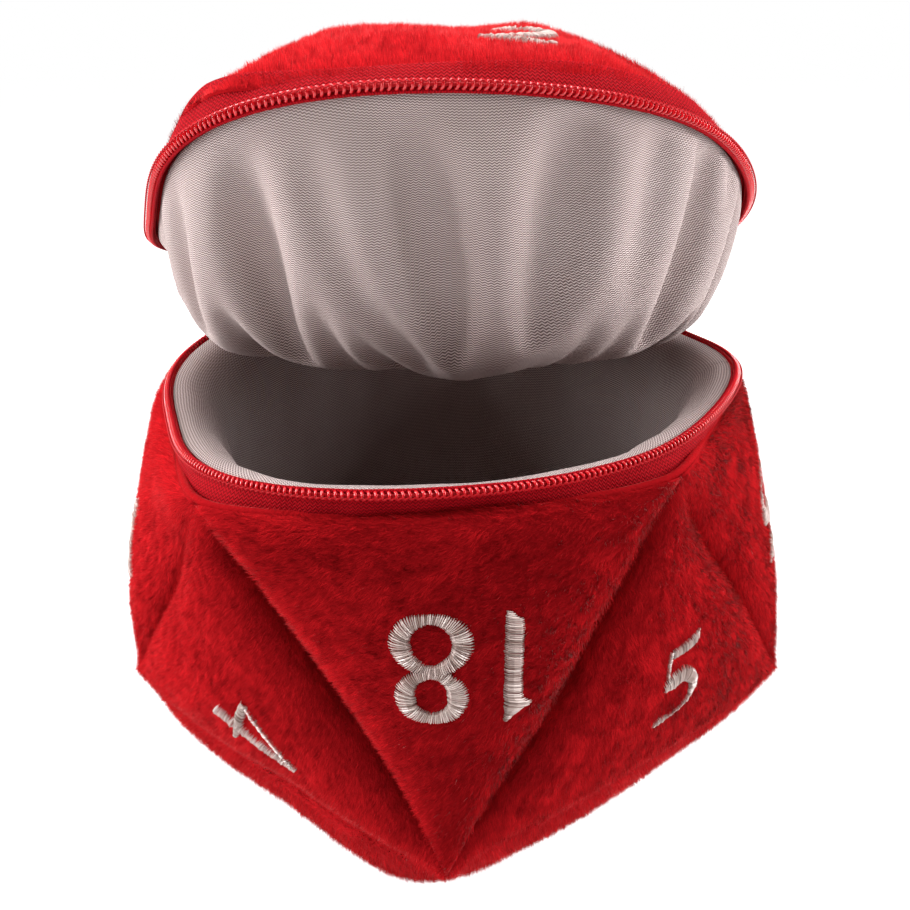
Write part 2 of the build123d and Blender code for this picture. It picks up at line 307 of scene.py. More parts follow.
def set_uv(piece, uv):
    """One UV place for each vertex."""
    layer = piece.data.uv_layers.new(name="UVMap")
    index = np.empty(len(piece.data.loops), np.int32)
    piece.data.loops.foreach_get("vertex_index", index)
    layer.data.foreach_set("uv", np.asarray(uv, np.float32)[index].ravel())


def grid_faces(rows, columns, closed=False):
    faces = []
    last = columns if closed else columns - 1
    for i in range(rows - 1):
        for j in range(last):
            k = (j + 1) % columns
            faces.append((i * columns + j, i * columns + k, (i + 1) * columns + k, (i + 1) * columns + j))
    return faces


# ---- materials ----
def material(name, color, roughness, **inputs):
    made = bpy.data.materials.new(name)
    made.use_nodes = True
    made.diffuse_color = (*color, 1)
    shader = made.node_tree.nodes["Principled BSDF"]
    shader.inputs["Base Color"].default_value = (*color, 1)
    shader.inputs["Roughness"].default_value = roughness
    for key, value in inputs.items():
        shader.inputs[key.replace("_", " ")].default_value = value
    return made, made.node_tree, shader


def add(tree, kind, **values):
    made = tree.nodes.new(kind)
    for key, value in values.items():
        if key in made.inputs:
            made.inputs[key].default_value = value
        else:
            setattr(made, key, value)
    return made


def mix_color(tree, factor, first, second):
    made = tree.nodes.new("ShaderNodeMix")
    made.data_type = "RGBA"
    tree.links.new(factor, made.inputs["Factor"])
    for socket, value in ((made.inputs["A"], first), (made.inputs["B"], second)):
        if isinstance(value, tuple):
            socket.default_value = (*value, 1)
        else:
            tree.links.new(value, socket)
    return made.outputs["Result"]


def calc(tree, operation, *values):
    """Result of a math node; each value is a number or another node's output."""
    made = add(tree, "ShaderNodeMath", operation=operation)
    for socket, value in zip(made.inputs, values):
        if isinstance(value, (int, float)):
            socket.default_value = value
        else:
            tree.links.new(value, socket)
    return made.outputs["Value"]


def uv_waves(tree, along, across, swing):
    """Zigzag rows in a piece's own UVs, which are metres of cloth: 1 on a row, 0 between rows."""
    place = add(tree, "ShaderNodeUVMap", uv_map="UVMap")
    split = add(tree, "ShaderNodeSeparateXYZ")
    tree.links.new(place.outputs["UV"], split.inputs["Vector"])
    zigzag = calc(tree, "PINGPONG", calc(tree, "MULTIPLY", split.outputs["X"], across), 0.5)
    rows = calc(tree, "MULTIPLY_ADD", split.outputs["Y"], along, calc(tree, "MULTIPLY", zigzag, swing))
    wave = calc(tree, "SINE", calc(tree, "MULTIPLY", rows, 2 * math.pi))
    return place.outputs["UV"], calc(tree, "MULTIPLY_ADD", wave, 0.5, 0.5)


def bump(tree, shader, height, strength, distance):
    made = add(tree, "ShaderNodeBump", Strength=strength, Distance=distance)
    tree.links.new(height, made.inputs["Height"])
    tree.links.new(made.outputs["Normal"], shader.inputs["Normal"])


def object_noise(tree, **values):
    """Noise in a piece's own space."""
    place = add(tree, "ShaderNodeTexCoord")
    made = add(tree, "ShaderNodeTexNoise", **values)
    tree.links.new(place.outputs["Object"], made.inputs["Vector"])
    return made.outputs["Fac"]


def pile_materials():
    """Fibres of the plush: a few reds from deep to bright, mixed in clumps; the spread from deep to bright is
    painted light and shade of the clumps.
    """
    return [material(f"plush_fibre_{index}", tuple(part * level for part in FIBRE_RED), 0.8,
                     Sheen_Weight=0.33, Sheen_Roughness=0.25, Sheen_Tint=(1.0, 0.42, 0.40, 1),
                     Specular_IOR_Level=0.0)[0] for index, level in enumerate(FIBRE_LEVELS)]


def backing_material():
    """Knitted ground of the plush, seen only between the fibres; its own red, painted darker as the shade
    deep in the pile.
    """
    made, tree, shader = material("plush_backing", (0.42, 0.002, 0.004), 0.9, Sheen_Weight=0.25,
                                  Sheen_Roughness=0.3, Sheen_Tint=(1.0, 0.30, 0.28, 1),
                                  Specular_IOR_Level=0.0)
    broad = object_noise(tree, Scale=90.0, Detail=3.0)
    # darker reds of the ground: painted shade deep between the fibres, varied by slow random tone
    tree.links.new(mix_color(tree, broad, (0.24, 0.004, 0.006), (0.44, 0.008, 0.012)),
                   shader.inputs["Base Color"])
    bump(tree, shader, object_noise(tree, Scale=1800.0, Detail=2.0), 0.6, 0.4 * MM)
    return made


def thread_materials():
    """Embroidery thread: slightly pink strands from bright to dull."""
    return [material(f"thread_{index}", color, 0.32, Specular_IOR_Level=0.6)[0]
            for index, color in enumerate(((0.64, 0.52, 0.48), (0.48, 0.36, 0.33), (0.32, 0.22, 0.19)))]


def lining_material():
    """White warp knit: painted shade darkens the gaps between fine zigzag rows."""
    made, tree, shader = material("lining_knit", (0.55, 0.50, 0.48), 0.85, Sheen_Weight=0.06,
                                  Specular_IOR_Level=0.1)
    uv, level = uv_waves(tree, 1700.0, 1220.0, 1.25)
    broad = add(tree, "ShaderNodeTexNoise", Scale=38.0, Detail=4.0)
    tree.links.new(uv, broad.inputs["Vector"])
    shade = mix_color(tree, broad.outputs["Fac"], (0.88, 0.76, 0.73), (0.72, 0.58, 0.56))
    # near-black between the rows is painted shade in the knit's gaps; the bump gives the same rows their
    # relief
    tree.links.new(mix_color(tree, level, (0.10, 0.050, 0.046), shade), shader.inputs["Base Color"])
    bump(tree, shader, level, 0.7, 0.2 * MM)
    return made


def tape_material():
    """Woven polyester tape with a herringbone, its grooves darkened with painted shade."""
    made, tree, shader = material("zip_tape", (0.45, 0.005, 0.011), 0.75, Specular_IOR_Level=0.05)
    _, level = uv_waves(tree, 1500.0, 1150.0, 1.5)
    # darker red between the rows is painted shade in the weave's grooves
    tree.links.new(mix_color(tree, level, (0.20, 0.0015, 0.004), (0.46, 0.003, 0.010)),
                   shader.inputs["Base Color"])
    bump(tree, shader, level, 0.8, 0.2 * MM)
    return made


def coil_material():
    """Nylon coil: a little gloss over a slightly uneven dye."""
    made, tree, shader = material("zip_coil", (0.70, 0.010, 0.016), 0.22, Specular_IOR_Level=0.7)
    dye = object_noise(tree, Scale=420.0, Detail=3.0)
    tree.links.new(mix_color(tree, dye, (0.58, 0.006, 0.012), (0.80, 0.014, 0.022)),
                   shader.inputs["Base Color"])
    return made


def wadding_material():
    """White fibre filling."""
    made, tree, shader = material("wadding_fibre", (0.8, 0.8, 0.78), 0.95)
    bump(tree, shader, object_noise(tree, Scale=300.0, Detail=5.0), 0.8, 1.0 * MM)
    return made


def enamel_material():
    """Red enamel on the slider and pull, rubbed to grey metal in places."""
    enamel, metal = (0.36, 0.008, 0.012), (0.30, 0.27, 0.26)
    made, tree, shader = material("slider_enamel", enamel, 0.28, Coat_Weight=0.4, Coat_Roughness=0.15)
    wear = object_noise(tree, Scale=900.0, Detail=6.0)
    ramp = add(tree, "ShaderNodeValToRGB")
    ramp.color_ramp.elements[0].position = 0.60
    ramp.color_ramp.elements[1].position = 0.68
    tree.links.new(wear, ramp.inputs["Fac"])
    tree.links.new(mix_color(tree, ramp.outputs["Color"], enamel, metal), shader.inputs["Base Color"])
    tree.links.new(ramp.outputs["Color"], shader.inputs["Metallic"])
    bump(tree, shader, wear, 0.15, 0.1 * MM)
    return made


# ---- the soft surface ----
def panel_surface(left, right, tip, bow, kind):
    """Points over one panel, their distances from its three seams, and how near its middle they are."""
    share, along = [], []
    for j in range(GRID + 1):
        count = GRID - j
        for i in range(count + 1):
            share.append(j / GRID)
            along.append(i / count if count else 0.5)
    share, along = np.array(share), np.array(along)
    middle = (left + right) / 2
    outward = unit(np.array([middle[0], middle[1], 0.0]))
    bowed = outward * (bow * 4 * along * (1 - along) * (1 - share) ** 1.5)[:, None]
    if kind == "base":
        radius, height = base_path(share)
        start = left / LOWER_RADIUS * radius[:, None]
        end = right / LOWER_RADIUS * radius[:, None]
    else:
        start = left + (tip - left) * share[:, None]
        end = right + (tip - right) * share[:, None]
    points = start + (end - start) * along[:, None]
    if kind == "base":
        points[:, 2] = height
    points += bowed
    if kind == "lid":
        arch = LID_ARCH + LID_SEAM_ARCH * (1 - 4 * along * (1 - along))
        points[:, 2] += arch * 4 * share * (1 - share)
        angle = np.degrees(np.arctan2(points[:, 1], points[:, 0])) % 360
        for centre, width, rise in LID_RIM_WAVES:
            points[:, 2] += rise * np.exp(-((angle - centre) / width) ** 2) * (1 - share) ** 4
    altitude = np.linalg.norm(tip - middle)
    a = (1 - share) * (1 - along)
    b = (1 - share) * along
    seams = np.stack([share, a, b], axis=1) * altitude
    return points, seams, 27 * share * a * b


def base_path(share):
    """Corner radius and height from the lower seam, round the foot, to the middle of the base."""
    path = [(LOWER_RADIUS, LOWER_HEIGHT)] + BASE_PROFILE + [(0.0, BASE_PROFILE[-1][1])]
    places = np.array([0.0, 0.22, 0.48, 1.0])
    fine = np.linspace(0, 1, 201)
    radius, height = (soften(np.interp(fine, places, column), np.hanning(31)) for column in zip(*path))
    return np.interp(share, fine, radius), np.interp(share, fine, height)


def triangle_faces():
    faces = []
    start = 0
    for j in range(GRID):
        count = GRID - j
        below = start + count + 1
        for i in range(count):
            faces.append((start + i, start + i + 1, below + i))
            if i + 1 < count:
                faces.append((start + i + 1, below + i + 1, below + i))
        start = below
    return faces


def shoulder(distance, width):
    near = 1 - np.clip(distance / width, 0, 1)
    return np.sqrt(np.clip(1 - near * near, 0, 1))


def grid_normals(points, faces):
    corners = points[np.array(faces)]
    normal = np.cross(corners[:, 1] - corners[:, 0], corners[:, 2] - corners[:, 0])
    total = np.zeros_like(points)
    for k in range(3):
        np.add.at(total, np.array(faces)[:, k], normal)
    return unit(total)


def puff(points, seams, crown, faces, core, kind, corners, swell):
    """Fills a flat panel: round shoulders at the seams, a full middle and slow lumps."""
    normal = grid_normals(points, faces)
    if (normal * (points - core)).sum() < 0:
        normal = -normal
    radial = unit(points - core)
    edge_is_rim = kind in ("upper", "lid")
    first = shoulder(seams[:, 0], RIM_SHOULDER if edge_is_rim else SHOULDER)
    others = shoulder(seams[:, 1], SHOULDER) * shoulder(seams[:, 2], SHOULDER)
    full = first * others
    direction = unit(radial * (1 - full)[:, None] + normal * full[:, None])
    sides = np.minimum(seams[:, 1], seams[:, 2])
    depth = 1 - RIM_LIFT * edge_is_rim * sides / (sides + seams[:, 0] + 1e-9)
    apart = np.min([np.linalg.norm(points - corner, axis=1) for corner in corners], axis=0)
    depth *= 1 - VERTEX_LIFT * np.exp(-(apart / VERTEX_REACH) ** 2)
    height = -SEAM_DEPTH * depth * (1 - full) + swell * np.clip(crown, 0, 1) ** 0.8
    height += LUMP * lumps(points, 24 * MM, 1) * (0.35 + 0.65 * full)
    height += 0.35 * LUMP * lumps(points, 8 * MM, 2) * full
    return points + direction * height[:, None]


def wobble(points):
    """Seams that aren't quite straight: a slow drift that is the same for neighbouring panels."""
    drift = np.stack([lumps(points, 34 * MM, seed) for seed in (4, 5, 6)], axis=1)
    return points + drift * 1.3 * MM


# ---- digits: strokes of x, y and half width in thousandths of the height; threads of "rows" stay level ----
DIGITS = {
    "0": [("loop", [(330, 930, 55), (80, 720, 85), (60, 300, 85), (330, 70, 55), (600, 280, 85),
                    (580, 700, 85)])],
    "1": [("rows", [(215, 0, 25), (190, 40, 55), (171, 85, 80), (171, 400, 82), (171, 740, 84),
                    (150, 790, 105), (128, 830, 125), (160, 870, 95), (205, 940, 45), (235, 990, 18)])],
    "2": [("open", [(60, 700, 30), (120, 880, 60), (360, 950, 70), (560, 760, 85), (440, 500, 75),
                    (200, 240, 50), (70, 70, 30)]),
          ("open", [(60, 80, 60), (340, 80, 85), (600, 120, 50), (660, 240, 15)])],
    "3": [("open", [(80, 860, 20), (280, 940, 70), (520, 800, 80), (440, 600, 50), (240, 520, 30)]),
          ("open", [(240, 520, 30), (500, 460, 60), (600, 260, 90), (400, 80, 70), (60, 140, 20)])],
    "4": [("open", [(460, 980, 50), (460, 660, 80), (460, 300, 85), (460, 20, 90)]),
          ("open", [(440, 950, 30), (240, 620, 35), (40, 300, 30)]),
          ("open", [(20, 290, 40), (300, 290, 55), (680, 290, 30)])],
    "5": [("open", [(640, 1000, 15), (580, 940, 45), (400, 900, 55), (200, 890, 50)]),
          ("open", [(185, 920, 30), (150, 780, 22), (135, 620, 22)]),
          ("open", [(100, 500, 60), (200, 545, 100), (360, 575, 105), (500, 500, 90), (565, 380, 70),
                    (520, 220, 35), (380, 100, 18), (220, 55, 20), (100, 50, 45), (10, 0, 12)])],
    "6": [("open", [(580, 960, 15), (340, 840, 50), (130, 560, 80), (80, 320, 85)]),
          ("loop", [(330, 520, 50), (100, 360, 75), (120, 160, 75), (330, 60, 55), (570, 180, 85),
                    (560, 400, 85)])],
    "7": [("open", [(50, 840, 20), (140, 920, 60), (400, 910, 65), (620, 930, 30)]),
          ("open", [(600, 920, 30), (420, 620, 55), (260, 300, 80), (220, 20, 90)])],
    "8": [("loop", [(355, 945, 58), (180, 880, 80), (135, 720, 92), (210, 580, 65), (355, 525, 50),
                    (500, 580, 65), (575, 720, 92), (530, 880, 80)]),
          ("loop", [(355, 500, 52), (170, 420, 75), (95, 260, 96), (170, 110, 75), (355, 52, 48),
                    (540, 110, 75), (615, 260, 96), (540, 420, 75)])],
    "9": [("open", [(80, 40, 15), (320, 160, 50), (530, 440, 80), (580, 680, 85)]),
          ("loop", [(330, 950, 55), (100, 820, 75), (90, 600, 75), (330, 480, 50), (560, 640, 85),
                    (560, 820, 85)])],
}


def smooth_stroke(kind, points):
    """Even samples, one for each thread, along a smooth curve through the stroke's points."""
    points = np.array(points) / 1000 * NUMBER_HEIGHT
    if kind == "loop":
        ring = np.concatenate([points[-1:], points, points[:2]])
    else:
        ring = np.concatenate([2 * points[:1] - points[1:2], points, 2 * points[-1:] - points[-2:-1]])
    samples = []
    for k in range(1, len(ring) - 2):
        samples += [curve(*ring[k - 1:k + 3], u) for u in np.linspace(0, 1, 24, endpoint=False)]
    samples.append(ring[-2])
    samples = np.array(samples)
    step = np.linalg.norm(np.diff(samples[:, :2], axis=0), axis=1)
    length = np.concatenate([[0], np.cumsum(step)])
    count = max(4, int(length[-1] / THREAD_PITCH))
    even = np.linspace(0, length[-1], count, endpoint=(kind != "loop"))
    placed = np.stack([np.interp(even, length, samples[:, k]) for k in range(3)], axis=1)
    if kind == "loop":
        along = np.roll(placed[:, :2], -1, 0) - np.roll(placed[:, :2], 1, 0)
    elif kind == "rows":
        along = np.tile([0.0, 1.0], (count, 1))
    else:
        along = np.gradient(placed[:, :2], axis=0)
    along = unit(along)
    return placed, along


def number_strokes(number):
    """Strokes of the whole number in its own plane, centred, with each thread's place and direction."""
    strokes = []
    edge = 0.0
    for digit in str(number):
        made = [smooth_stroke(kind, points) for kind, points in DIGITS[digit]]
        left = min((placed[:, 0] - placed[:, 2]).min() for placed, _ in made)
        right = max((placed[:, 0] + placed[:, 2]).max() for placed, _ in made)
        for placed, along in made:
            placed[:, 0] += edge - left
            placed[:, 1] -= NUMBER_HEIGHT / 2
            strokes.append((placed, along))
        edge += right - left + DIGIT_GAP
    for placed, _ in strokes:
        placed[:, 0] -= (edge - DIGIT_GAP) / 2
        placed *= NUMBER_SIZE.get(number, 1.0)
    return strokes


def fast_mesh(name, points, faces, shades, materials, smooth):
    """Mesh of many same-sized faces; shades gives each face's material."""
    count, size = faces.shape
    mesh = bpy.data.meshes.new(name)
    mesh.vertices.add(len(points))
    mesh.vertices.foreach_set("co", np.asarray(points, np.float32).ravel())
    mesh.loops.add(count * size)
    mesh.loops.foreach_set("vertex_index", faces.astype(np.int32).ravel())
    mesh.polygons.add(count)
    mesh.polygons.foreach_set("loop_start", np.arange(0, count * size, size, dtype=np.int32))
    for made in materials:
        mesh.materials.append(made)
    mesh.polygons.foreach_set("material_index", shades.astype(np.int32))
    mesh.polygons.foreach_set("use_smooth", np.full(count, smooth))
    mesh.update(calc_edges=True)
    return link(name, mesh)


# ---- plush panels ----
def number_frame(left, right, tip, share, core, place):
    """Origin, across, up and outward directions of the plane that a number lies in."""
    middle = (left + right) / 2
    up = unit(tip - middle)
    out = unit(np.cross(right - left, tip - left))
    origin = middle + (tip - middle) * share
    if np.dot(out, origin - core) < 0:
        out = -out
    across = np.cross(up, out)
    if place is slouch:
        return place(origin), across, up, out
    zero = swing_open(np.zeros(3))
    return place(origin), swing_open(across) - zero, swing_open(up) - zero, swing_open(out) - zero


def pile_clear_of(strokes, flat):
    """True where a fibre's root is outside the stitching."""
    clear = np.ones(len(flat), bool)
    for placed, _ in strokes:
        near = np.ones(len(flat), bool)
        for k in range(2):
            near &= flat[:, k] > placed[:, k].min() - STROKE_MARGIN
            near &= flat[:, k] < placed[:, k].max() + STROKE_MARGIN
        index = np.nonzero(near)[0]
        if len(index) == 0:
            continue
        gap = np.linalg.norm(flat[index, None, :] - placed[None, :, :2], axis=2) - placed[None, :, 2]
        clear[index] &= gap.min(axis=1) > STITCH_CLEARANCE
    return clear


def grow_pile(name, points, faces, strokes, plane, body, nap, per_mm2):
    """Short plush fibres: each is a narrow blade that leans with the nap."""
    faces = np.array(faces)
    corners = points[faces]
    cross = np.cross(corners[:, 1] - corners[:, 0], corners[:, 2] - corners[:, 0])
    area = np.linalg.norm(cross, axis=1) / 2
    count = int(area.sum() / MM ** 2 * per_mm2 * (1.0))
    pick = RANDOM.choice(len(faces), count, p=area / area.sum())
    u, v = RANDOM.random(count), RANDOM.random(count)
    over = u + v > 1
    u[over], v[over] = 1 - u[over], 1 - v[over]
    weights = np.stack([1 - u - v, u, v], axis=1)[:, :, None]
    roots = (corners[pick] * weights).sum(axis=1)
    origin, across, up, _ = plane
    normals = unit((grid_normals(points, faces)[faces[pick]] * weights).sum(axis=1))
    flat = np.stack([(roots - origin) @ across, (roots - origin) @ up], axis=1)
    kept = pile_clear_of(strokes, flat)
    roots, normals = roots[kept], normals[kept]
    count = len(roots)

    way = unit(nap - normals * (normals @ nap)[:, None])
    aside = np.cross(normals, way)
    stretched = roots - way * (roots * way).sum(axis=1)[:, None] * NAP_STRETCH
    ripples = quick_lumps(stretched, RIPPLE, 8)
    tufts = quick_lumps(stretched, TUFT, 12)
    swirl = quick_lumps(roots, SWIRL, 9)
    patches = quick_lumps(roots, PATCH, 10)
    turn = 0.4 * swirl + 0.3 * patches + 0.6 * tufts + 0.3 * ripples + RANDOM.normal(0, 0.22, count)
    lean_way = way * np.cos(turn)[:, None] + aside * np.sin(turn)[:, None]
    lean = np.radians(np.clip(50 + 22 * ripples + 10 * patches + RANDOM.normal(0, 8, count), 12, 78))
    length = PILE_LENGTH * (1 + 0.12 * patches + 0.22 * tufts + RANDOM.normal(0, 0.12, count))
    length = np.clip(length, 0.6 * PILE_LENGTH, 1.5 * PILE_LENGTH)
    width = PILE_WIDTH * RANDOM.uniform(0.7, 1.3, count)
    grow = normals * np.cos(lean)[:, None] + lean_way * np.sin(lean)[:, None]
    side = unit(np.cross(normals, lean_way) + 0.35 * RANDOM.normal(0, 1, (count, 3)))
    side *= np.sign((np.cross(side, grow) * normals).sum(axis=1))[:, None]
    sunk = roots - normals * PILE_TUCK
    half = side * (width / 2)[:, None]
    blade = np.stack([sunk - half, sunk + half, sunk + grow * length[:, None]], axis=1)
    blade[..., 2] = np.maximum(blade[..., 2], PILE_TUCK)
    shine = unit(normals + 0.75 * unit(np.cross(side, grow)) + 0.3 * grow)
    # each fibre's red step follows the clump noise: painted light and shade of the clumps
    clump_light_and_shade = 1.5 + 1.3 * ripples + 0.9 * tufts + 0.5 * patches + RANDOM.normal(0, 0.5, count)
    shade = np.clip(np.round(clump_light_and_shade), 0, len(PILE) - 1).astype(np.int32)
    faces = np.arange(3 * count).reshape(-1, 3)
    piece = fast_mesh(name, blade.reshape(-1, 3), faces, shade, PILE, True)
    piece.data.normals_split_custom_set_from_vertices(np.repeat(shine, 3, axis=0))
    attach(piece, body)


def embroider(name, strokes, plane, tree, body):
    """Satin stitch: side by side threads that cross each stroke and arch over its middle."""
    origin, across, up, out = plane
    stations = np.array([-1.0, -0.62, 0.0, 0.62, 1.0])
    points, quads, shades = [], [], []
    for placed, along in strokes:
        for (x, y, half), (ax, ay) in zip(placed, along):
            slant = STITCH_SLANT + RANDOM.normal(0, 0.035)
            way = np.array([-ay + slant * ax, ax + slant * ay])
            way /= np.linalg.norm(way)
            ends = half + RANDOM.normal(0, 0.06 * MM, 2)
            rise = STITCH_RISE * min(1.0, 0.35 + half / (2.6 * MM)) + RANDOM.normal(0, 0.09 * MM)
            path = []
            for station in stations:
                offset = way * station * (ends[0] if station < 0 else ends[1])
                start = origin + across * (x + offset[0]) + up * (y + offset[1]) + out * RAY_REACH
                hit, normal, _, _ = tree.ray_cast(Vector(start), Vector(-out))
                if hit is None:
                    path = []
                    break
                lift = 0.10 * MM + rise * math.sqrt(max(0.0, 1 - station * station))
                path.append(np.array(hit) + out * lift)
            if not path:
                continue
            base = len(points)
            thick = 0.5 * THREAD_PITCH * RANDOM.uniform(0.75, 1.05)
            side = unit(across * ax + up * ay) * thick
            for index, point in enumerate(path):
                taper = 0.45 if index in (0, 4) else 1.0
                points += [point - side * taper, point + out * 0.16 * MM * taper, point + side * taper,
                           point - out * 0.3 * MM]
            for index in range(4):
                here = base + 4 * index
                for k, after in ((0, 1), (1, 2), (2, 3), (3, 0)):
                    quads.append((here + k, here + after, here + 4 + after, here + 4 + k))
            quads += [(base, base + 3, base + 2, base + 1), (base + 16, base + 17, base + 18, base + 19)]
            shades += [int(RANDOM.choice(3, p=(0.45, 0.38, 0.17)))] * 18
    piece = fast_mesh(name, np.array(points), np.array(quads), np.array(shades), THREAD, False)
    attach(piece, body)
    return piece


def close_sheet(points, faces, inner):
    """Closed solid: the outer sheet, the inner sheet and the walls along their open edge."""
    count = len(points)
    used = {}
    for face in faces:
        for k in range(len(face)):
            edge = (face[k], face[(k + 1) % len(face)])
            used[frozenset(edge)] = None if frozenset(edge) in used else edge
    walls = [(b, a, a + count, b + count) for a, b in filter(None, used.values())]
    back = [tuple(count + k for k in reversed(face)) for face in faces]
    return np.concatenate([points, inner]), [tuple(f) for f in faces] + back + walls


def build_panel(number, left, right, tip, bow, core, share, kind, body, place, nap):
    points, seams, crown = panel_surface(left, right, tip, bow, kind)
    faces = triangle_faces()
    swell = SWELL[kind] * FULLER_PANELS.get(number, 1)
    points = puff(wobble(points), seams, crown, faces, core, kind, (left, right, tip), swell)
    points[:, 2] = np.maximum(points[:, 2], FLAT_HEIGHT)
    if kind in RIM_LINES:
        RIM_LINES[kind].append(points[:GRID + 1].copy())
    points = place(points)
    centre = place(core)
    if number in TURNED_NUMBERS:
        plane = number_frame(tip, left, right, TURNED_NUMBERS[number], core, place)
    else:
        plane = number_frame(left, right, tip, share, core, place)
    shift = NUMBER_SHIFT.get(number, (0, 0))
    turn = math.radians(NUMBER_TURN.get(number, 0.0))
    origin, across, up, out = plane
    origin = origin + across * shift[0] + up * shift[1]
    across, up = across * math.cos(turn) + up * math.sin(turn), up * math.cos(turn) - across * math.sin(turn)
    plane = (origin, across, up, out)
    normals = grid_normals(points, faces)
    if (normals @ plane[3]).sum() < 0:
        faces = [tuple(reversed(face)) for face in faces]
    closed = close_sheet(points, faces, centre + (points - centre) * SKIN_SHARE)
    skin = make_mesh(f"plush_{number}", *closed, BACKING)
    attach(skin, body)
    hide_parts(f"panel_{number}")
    strokes = number_strokes(number)
    tree = BVHTree.FromPolygons([Vector(p) for p in points], faces)
    per_mm2 = PILE_PER_MM2 if number in IN_VIEW else PILE_PER_MM2_BEHIND
    grow_pile(f"pile_{number}", points, faces, strokes, plane, body, nap, per_mm2)
    stitched = embroider(f"stitched_{number}", strokes, plane, tree, body)
    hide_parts(f"number_{number}")
    return points, np.array(faces), centre


RIM_LINES = {"upper": [], "lid": []}
BACKING = backing_material()
PILE = pile_materials()
THREAD = thread_materials()
LINING = lining_material()
TAPE = tape_material()
COIL = coil_material()
CORD = material("zip_cord", (0.42, 0.003, 0.008), 0.6, Specular_IOR_Level=0.15)[0]
ENAMEL = enamel_material()
WADDING = wadding_material()

DOWN = np.array([0, 0, -1.0])
core = np.array([0, 0, CORE_HEIGHT])
lid_core = np.array([0, 0, ZIP_HEIGHT - 8 * MM])
corner_reach = CORNER_RADIUS + RIM_CORNER_REACH
corner_bow = RIM_MIDDLE_RADIUS - corner_reach * math.cos(math.radians(36))
lid_bow = LID_MIDDLE_RADIUS - LID_CORNER_RADIUS * math.cos(math.radians(36))
rim = ZIP_HEIGHT - RIM_DROP + RIM_CORNER_RISE
lid_rim = ZIP_HEIGHT + LID_RIM_DROP
lid_tip = np.array([0, 0, ZIP_HEIGHT + LID_HEIGHT])
bag_shells, lid_shells = [], []
for index, angle in enumerate(UPPER_ANGLES):
    upper_left, upper_right = on_circle(corner_reach, angle, rim), on_circle(corner_reach, angle + 72, rim)
    lower_left = on_circle(LOWER_RADIUS, angle - 36, LOWER_HEIGHT)
    lower_right = on_circle(LOWER_RADIUS, angle + 36, LOWER_HEIGHT)
    sideways = unit(upper_left - upper_right)
    upper_nap = sideways + 0.2 * DOWN if index == 0 else DOWN + 0.6 * sideways
    base_nap = -unit(lower_left + lower_right) * np.array([1, 1, 0])
    lid_left = on_circle(LID_CORNER_RADIUS, angle, lid_rim)
    lid_right = on_circle(LID_CORNER_RADIUS, angle + 72, lid_rim)
    bag_shells += [
        build_panel(UPPER_NUMBERS[index], upper_left, upper_right, lower_right, corner_bow, core,
                    BAND_SHARE, "upper", "bag", slouch, upper_nap),
        build_panel(LOWER_NUMBERS[index], lower_left, lower_right, upper_left, LOWER_BOW, core,
                    BAND_SHARE, "lower", "bag", slouch, DOWN + 0.6 * sideways),
        build_panel(BASE_NUMBERS[index], lower_left, lower_right, np.zeros(3), LOWER_BOW, core,
                    FOOT_SHARE, "base", "bag", slouch, base_nap)]
    outward = unit(lid_left[:2] + lid_right[:2])
    lid_nap = np.array([-outward[0], -outward[1], 0.6])
    lid_shells.append(build_panel(LID_NUMBERS[index], lid_left, lid_right, lid_tip, lid_bow, lid_core,
                                  BAND_SHARE, "lid", "lid", open_lid, lid_nap))


def build_wadding(name, shells, body, node):
    """Fibre filling behind the plush, cut to each panel."""
    points, faces = [], []
    for outer, outer_faces, centre in shells:
        near, far = (centre + (outer - centre) * share for share in WADDING_SHARES)
        layer_points, layer_faces = close_sheet(near, outer_faces, far)
        start = sum(len(block) for block in points)
        points.append(layer_points)
        faces += [tuple(start + k for k in face) for face in layer_faces]
    piece = make_mesh(name, np.concatenate(points), faces, WADDING)
    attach(piece, body)
    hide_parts(node)


build_wadding("bag_wadding", bag_shells, "bag", "bag_padding")
build_wadding("lid_wadding", lid_shells, "lid", "lid_padding")


# ---- zipper ----
def on_ring(radius, degrees, height):
    """Points round the ring; each value may be an array."""
    angle = np.radians(degrees)
    return np.stack(np.broadcast_arrays(radius * np.cos(angle), radius * np.sin(angle), height), axis=-1)


def ring_noise(degrees, size, seed):
    """Slow noise round the ring, the same at 0 and 360 degrees."""
    return lumps(on_ring(ZIP_RADIUS, np.asarray(degrees, float), 0.0), size, seed)


def grid_normal_field(grid):
    """Unit normals of a grid of points, rows by columns."""
    rows = np.gradient(grid, axis=0)
    columns = np.gradient(grid, axis=1)
    return unit(np.cross(columns, rows))


def band(name, grid, thickness, uv, surface, closed=False, flip=False):
    """Closed strip of cloth from a grid of points, rows by columns."""
    rows, columns = grid.shape[:2]
    faces = grid_faces(rows, columns, closed)
    normals = grid_normal_field(grid)
    if closed:
        wrapped = np.concatenate([grid[:, -1:], grid, grid[:, :1]], axis=1)
        normals = grid_normal_field(wrapped)[:, 1:-1]
    if flip:
        normals = -normals
        faces = [tuple(reversed(face)) for face in faces]
    points, faces = close_sheet(grid.reshape(-1, 3), faces, (grid - normals * thickness).reshape(-1, 3))
    piece = make_mesh(name, points, faces, surface)
    set_uv(piece, np.concatenate([uv.reshape(-1, 2)] * 2))
    return piece


def plush_rim(kind, degrees):
    """Radius and height of the plush's edge at each place round the ring."""
    line = np.concatenate(RIM_LINES[kind])
    angle = np.degrees(np.arctan2(line[:, 1], line[:, 0])) % 360
    order = np.argsort(angle)
    angle, line = angle[order], line[order]
    half = RIM_WINDOW // 2
    kernel = np.full(RIM_WINDOW, 1 / RIM_WINDOW)
    reach, level = (np.convolve(np.concatenate([row[-half:], row, row[:half]]), kernel, "valid")
                    for row in (np.hypot(line[:, 0], line[:, 1]), line[:, 2]))
    return np.interp(degrees, angle, reach, period=360), np.interp(degrees, angle, level, period=360)


